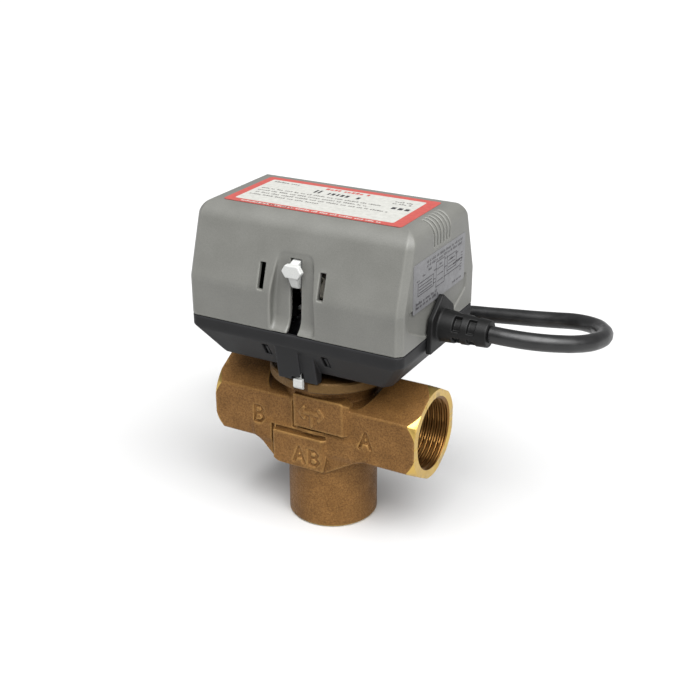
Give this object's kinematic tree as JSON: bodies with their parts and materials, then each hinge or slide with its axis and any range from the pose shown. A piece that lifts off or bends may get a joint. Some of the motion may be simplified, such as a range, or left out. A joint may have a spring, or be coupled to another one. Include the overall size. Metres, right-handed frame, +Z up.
{
  "type": "motorised zone valve",
  "caption": "Three-port brass zone valve with internal pipe threads and a clip-on grey motor actuator with a manual lever, coupled rack drive and integral cable.",
  "frame": {"origin": "on the valve stem's axis at the lower end face of port AB", "axes": "+Z up along the stem, +X along the ports towards port A, -Y towards the manual lever"},
  "size_m": [0.2191, 0.1657, 0.1444],
  "materials": {
    "cast_brass": "sand-cast, tumbled, fine grain",
    "machined_brass": "turned, dulled by tumbling",
    "steel": "plated, satin",
    "seal_rubber": "matt black rubber",
    "natural_plastic": "moulded acetal, natural",
    "cover_grey": "moulded, fine spark texture",
    "base_grey": "moulded, fine texture",
    "white_plastic": "moulded, satin",
    "black_plastic": "moulded, satin",
    "top_label": "printed film, red border on white",
    "wiring_label": "printed film, pale grey",
    "circuit_board": "green solder mask",
    "copper": "enamelled copper winding",
    "cable_black": "smooth PVC sheath",
    "lead_blue": "PVC insulation",
    "lead_brown": "PVC insulation",
    "lead_black": "PVC insulation"
  },
  "bodies": {
    "valve": {"valve_body": "cast_brass", "bonnet": "machined_brass", "bonnet_seal": "seal_rubber", "stem_seal": "seal_rubber", "cartridge_cage": "natural_plastic", "lower_cage_seal": "seal_rubber", "upper_cage_seal": "seal_rubber"},
    "plunger": {"valve_stem": "steel", "stem_circlip": "steel", "flow_plunger": "natural_plastic", "lower_plunger_seal": "seal_rubber", "upper_plunger_seal": "seal_rubber"},
    "actuator": {"base_housing": "base_grey", "cover_housing": "cover_grey", "top_label": "top_label", "wiring_label": "wiring_label", "bayonet_ring": "steel", "rear_ring_screw": "steel", "front_ring_screw": "steel", "front_gear_plate": "steel", "rear_gear_plate": "steel", "left_pillar": "steel", "upper_pillar": "steel", "lower_pillar": "steel", "output_axle": "steel", "second_axle": "steel", "first_axle": "steel", "motor_can": "steel", "stator_coil": "copper", "rack_guide": "black_plastic", "upper_switch": "black_plastic", "lower_switch": "black_plastic", "circuit_board": "circuit_board", "lower_board_screw": "steel", "upper_board_screw": "steel", "board_relay": "black_plastic", "board_capacitor": "lead_blue", "terminal_block": "natural_plastic", "blue_lead": "lead_blue", "brown_lead": "lead_brown", "black_lead": "lead_black", "cable_gland": "black_plastic", "cable_lead": "cable_black", "cable_coil": "cable_black", "cable_tail": "cable_black", "blue_core": "lead_blue", "brown_core": "lead_brown", "black_core": "lead_black", "cable_tie": "black_plastic"},
    "carriage": {"drive_rack": "natural_plastic", "stem_coupler": "steel", "manual_lever": "white_plastic"},
    "output_gear": {"output_gear": "natural_plastic"},
    "second_gear": {"second_gear": "natural_plastic"},
    "first_gear": {"first_gear": "natural_plastic"},
    "rotor": {"motor_rotor": "steel"},
    "latch": {"release_latch": "white_plastic", "latch_spring": "steel"},
    "upper_button": {"upper_switch_button": "white_plastic"},
    "lower_button": {"lower_switch_button": "white_plastic"}
  },
  "joints": [
    {"name": "actuator_bayonet", "type": "hinge", "parent": "valve", "child": "actuator", "pos_m": [0, 0, 0.0811], "axis": [0, 0, 1], "range_deg": [-45, 0]},
    {"name": "drive_stroke", "type": "slide", "parent": "actuator", "child": "carriage", "axis": [0, 0, -1], "range_m": [0, 0.01]},
    {"name": "stem_slide", "type": "slide", "parent": "valve", "child": "plunger", "axis": [0, 0, -1], "range_m": [0, 0.01]},
    {"name": "output_gear_spin", "type": "hinge", "parent": "actuator", "child": "output_gear", "pos_m": [0.008, 0, 0.111], "axis": [0, 1, 0], "range_deg": [-95.5, 0]},
    {"name": "second_gear_spin", "type": "hinge", "parent": "actuator", "child": "second_gear", "pos_m": [0.01551, 0, 0.12513], "axis": [0, 1, 0], "range_deg": [0, 286.49]},
    {"name": "first_gear_spin", "type": "hinge", "parent": "actuator", "child": "first_gear", "pos_m": [0.02628, 0, 0.11316], "axis": [0, 1, 0], "range_deg": [-1031.34, 0]},
    {"name": "rotor_spin", "type": "hinge", "parent": "actuator", "child": "rotor", "pos_m": [0.02368, 0, 0.09839], "axis": [0, 1, 0], "range_deg": [0, 4125.35]},
    {"name": "latch_push", "type": "slide", "parent": "actuator", "child": "latch", "axis": [0, 0, 1], "range_m": [0, 0.002], "stiffness_N_per_m": 400, "springref_m": -0.001, "deforming": ["latch_spring"]},
    {"name": "upper_switch_press", "type": "slide", "parent": "actuator", "child": "upper_button", "axis": [-1, 0, 0], "range_m": [0, 0.0008], "stiffness_N_per_m": 300, "springref_m": -0.0005},
    {"name": "lower_switch_press", "type": "slide", "parent": "actuator", "child": "lower_button", "axis": [-1, 0, 0], "range_m": [0, 0.0008], "stiffness_N_per_m": 300, "springref_m": -0.0005}
  ],
  "couplings": [
    {"joint": "stem_slide", "follows": "drive_stroke", "ratio": 1},
    {"joint": "output_gear_spin", "follows": "drive_stroke", "rad_per_m": -166.67},
    {"joint": "second_gear_spin", "follows": "drive_stroke", "rad_per_m": 500},
    {"joint": "first_gear_spin", "follows": "drive_stroke", "rad_per_m": -1800},
    {"joint": "rotor_spin", "follows": "drive_stroke", "rad_per_m": 7200}
  ]
}
